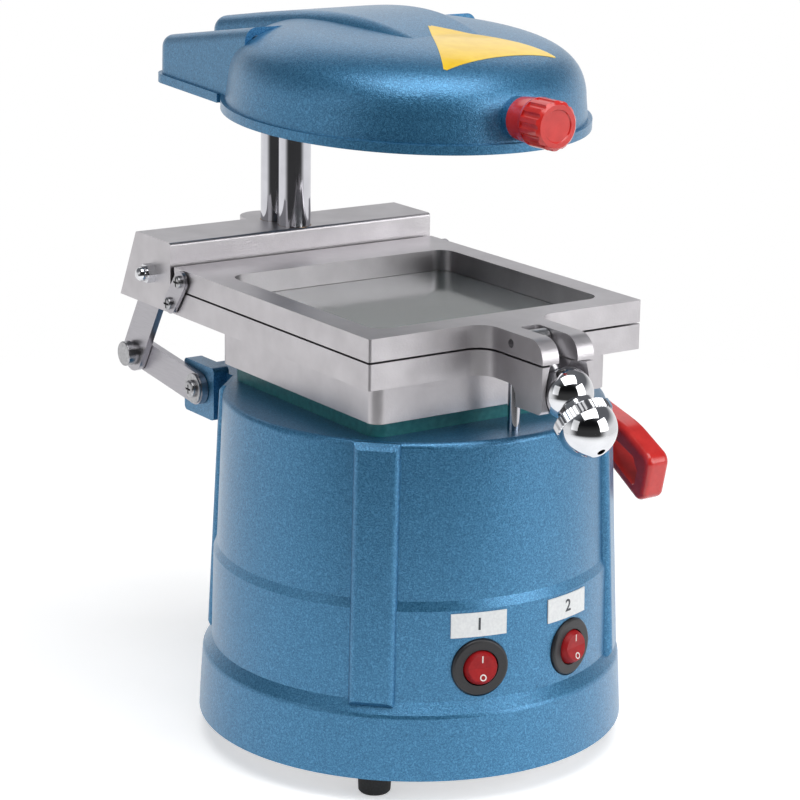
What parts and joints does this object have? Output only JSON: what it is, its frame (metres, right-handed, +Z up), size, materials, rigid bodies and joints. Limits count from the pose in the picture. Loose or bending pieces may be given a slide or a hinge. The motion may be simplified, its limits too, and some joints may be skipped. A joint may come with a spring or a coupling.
{
  "type": "dental vacuum former",
  "caption": "Bench vacuum former: a swinging heater head over a hinged sheet frame that a lever lowers onto a round vacuum base with a perforated plate.",
  "frame": {"origin": "on the bench, on the axis of the round base", "axes": "+Z up; -Y towards the front, with the clamp and the switches; +Y towards the posts; the lever handle is at +X"},
  "size_m": [0.2048, 0.277, 0.319],
  "materials": {
    "blue_enamel": "hammertone enamel",
    "cast_nickel": "satin cast metal",
    "chrome": "polished",
    "ground_steel": "ground",
    "zinc_steel": "zinc plated",
    "red_plastic": "glossy",
    "red_lens": "glossy translucent",
    "black_plastic": "matte",
    "black_rubber": "matte",
    "teal_silicone": "soft, translucent",
    "sheet_plastic": "clear, slightly grey",
    "bearing_bronze": "plain",
    "bright_aluminium": "bright sheet",
    "heating_rod": "oxidised"
  },
  "bodies": {
    "base": {"base_housing": "blue_enamel", "bottom_plate": "zinc_steel", "rubber_feet": "black_rubber", "foot_screws": "zinc_steel", "vacuum_plate": "bright_aluminium", "seal_gasket": "teal_silicone", "guide_pin": "ground_steel", "front_post": "ground_steel", "rear_post": "ground_steel", "shaft_bushes": "bearing_bronze", "cord_gland": "black_rubber", "left_switch_body": "black_plastic", "right_switch_body": "black_plastic", "vacuum_motor": "zinc_steel", "motor_plate": "zinc_steel", "fan_housing": "bright_aluminium", "suction_ring": "black_rubber"},
    "carriage": {"lower_frame": "cast_nickel", "rear_bracket": "cast_nickel", "carriage_skirt": "cast_nickel", "forming_sheet": "sheet_plastic", "post_bushes": "bearing_bronze", "hinge_plates": "ground_steel", "hinge_screws": "zinc_steel", "link_bolts": "zinc_steel", "acorn_nuts": "chrome"},
    "frame": {"upper_frame": "cast_nickel", "clamp_pin": "zinc_steel"},
    "clamp_bolt": {"swing_bolt": "zinc_steel"},
    "clamp_nut": {"ball_nut": "chrome"},
    "clamp_knob": {"knurled_collar": "chrome", "ball_cap": "chrome"},
    "links": {"left_link_arm": "ground_steel", "right_link_arm": "ground_steel", "elbow_pins": "zinc_steel"},
    "lever": {"lever_shaft": "ground_steel", "left_crank": "ground_steel", "right_crank": "ground_steel", "shaft_screws": "zinc_steel", "lever_bar": "ground_steel", "lever_handle": "red_plastic"},
    "heater_head": {"heater_cover": "blue_enamel", "heater_reflector": "bright_aluminium", "heater_element": "heating_rod", "element_clips": "zinc_steel", "heater_knob": "red_plastic", "knob_stud": "ground_steel"},
    "left_rocker": {"left_rocker": "red_lens"},
    "right_rocker": {"right_rocker": "red_lens"},
    "impeller": {"fan_impeller": "bright_aluminium"}
  },
  "joints": [
    {"name": "carriage_lift", "type": "slide", "parent": "base", "child": "carriage", "axis": [0, 0, 1], "range_m": [0, 0.032]},
    {"name": "lever_turn", "type": "hinge", "parent": "base", "child": "lever", "pos_m": [0, 0.0822, 0.1466], "axis": [1, 0, 0], "range_deg": [0, 32.68]},
    {"name": "link_swing", "type": "hinge", "parent": "carriage", "child": "links", "pos_m": [0, 0.1079, 0.1959], "axis": [1, 0, 0], "range_deg": [-14.12, 0]},
    {"name": "frame_open", "type": "hinge", "parent": "carriage", "child": "frame", "pos_m": [0, 0.0805, 0.197], "axis": [-1, 0, 0], "range_deg": [0, 15]},
    {"name": "clamp_swing", "type": "hinge", "parent": "frame", "child": "clamp_bolt", "pos_m": [0, -0.087, 0.197], "axis": [-1, 0, 0], "range_deg": [0, 60.01]},
    {"name": "nut_travel", "type": "slide", "parent": "clamp_bolt", "child": "clamp_nut", "axis": [0, -0.7716, -0.6361], "range_m": [0, 0.02401]},
    {"name": "knob_spin", "type": "hinge", "parent": "clamp_nut", "child": "clamp_knob", "pos_m": [0, -0.12242, 0.1678], "axis": [0, -0.7716, -0.6361], "continuous": true},
    {"name": "heater_swing", "type": "hinge", "parent": "base", "child": "heater_head", "pos_m": [0, 0.1158, 0.2756], "axis": [0, 0, 1], "range_deg": [0, 100]},
    {"name": "left_switch", "type": "hinge", "parent": "base", "child": "left_rocker", "pos_m": [-0.02352, -0.0848, 0.0585], "axis": [0.9636, -0.2672, 0], "range_deg": [0, 16]},
    {"name": "right_switch", "type": "hinge", "parent": "base", "child": "right_rocker", "pos_m": [0.02352, -0.0848, 0.0585], "axis": [0.9636, 0.2672, 0], "range_deg": [0, 16]},
    {"name": "impeller_spin", "type": "hinge", "parent": "base", "child": "impeller", "pos_m": [0, 0.00265, 0.095], "axis": [0, 0, 1], "continuous": true}
  ],
  "couplings": [
    {"joint": "lever_turn", "follows": "carriage_lift", "rad_per_m": 17.817},
    {"joint": "link_swing", "follows": "carriage_lift", "rad_per_m": -7.6942},
    {"joint": "clamp_swing", "follows": "frame_open", "ratio": 4},
    {"joint": "nut_travel", "follows": "frame_open", "m_per_rad": 0.091673}
  ]
}
